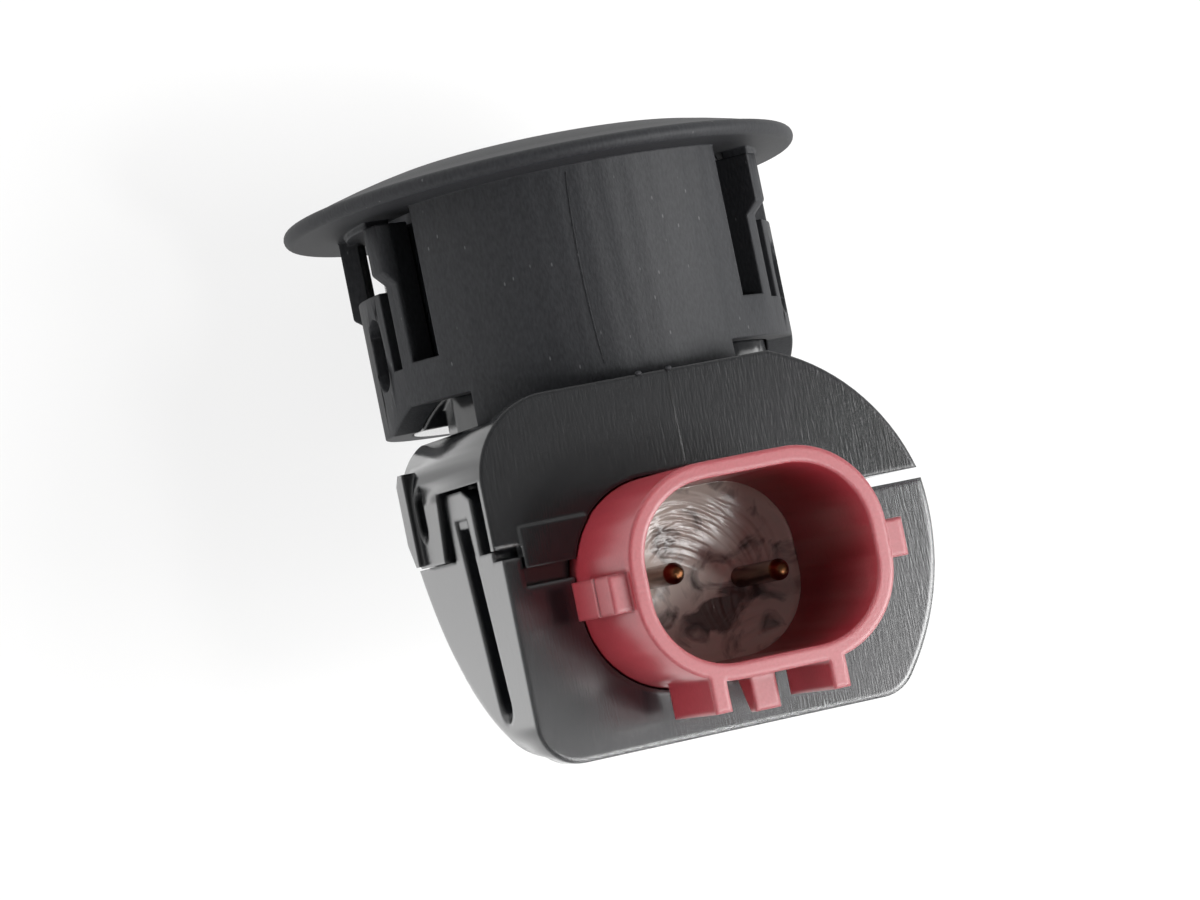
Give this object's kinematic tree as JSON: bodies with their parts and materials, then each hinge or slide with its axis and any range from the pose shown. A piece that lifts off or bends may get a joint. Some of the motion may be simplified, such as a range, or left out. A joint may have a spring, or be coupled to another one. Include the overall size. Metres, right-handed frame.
{
  "type": "parking sensor",
  "caption": "Elbow ultrasonic parking sensor: round domed bezel with a snap collar, an offset housing and a red plug socket at a right angle.",
  "frame": {"origin": "on the collar axis in the plane of the flange's underside", "axes": "+Y is the sensing direction, +Z the direction that the plug leaves the socket, +X to the right seen from the plug with the bezel up"},
  "size_m": [0.0252, 0.0288, 0.0309],
  "materials": {
    "moulded_pp_grey": "fine matte texture",
    "moulded_pbt_grey": "satin",
    "moulded_pbt_black": "polished",
    "moulded_pbt_red": "satin",
    "plated_brass": "bright",
    "potting_resin": "glossy with swirls",
    "deep_drawn_aluminium": "satin",
    "silicone_grey": "matte",
    "piezo_ceramic": "matte",
    "damping_foam": "matte",
    "cup_silicone": "matte",
    "wire_red": "satin",
    "wire_black": "satin",
    "board_laminate": "satin",
    "ferrite": "matte",
    "enamelled_copper": "bright",
    "chip_epoxy": "matte",
    "chip_ceramic": "matte"
  },
  "bodies": {
    "root": {"mount_collar": "moulded_pp_grey", "sensor_housing": "moulded_pbt_grey", "rear_cover": "moulded_pbt_black", "connector_shroud": "moulded_pbt_red", "terminal_left": "plated_brass", "terminal_right": "plated_brass", "socket_resin": "potting_resin", "transducer_cup": "deep_drawn_aluminium", "decoupling_ring": "silicone_grey", "piezo_disc": "piezo_ceramic", "damping_pad": "damping_foam", "cup_potting": "cup_silicone", "lead_wire_left": "wire_red", "lead_wire_right": "wire_black", "circuit_board": "board_laminate", "transformer_core": "ferrite", "transformer_coil": "enamelled_copper", "control_chip": "chip_epoxy", "capacitor_large": "chip_ceramic", "capacitor_small": "chip_ceramic", "resistor": "chip_epoxy"}
  },
  "joints": []
}
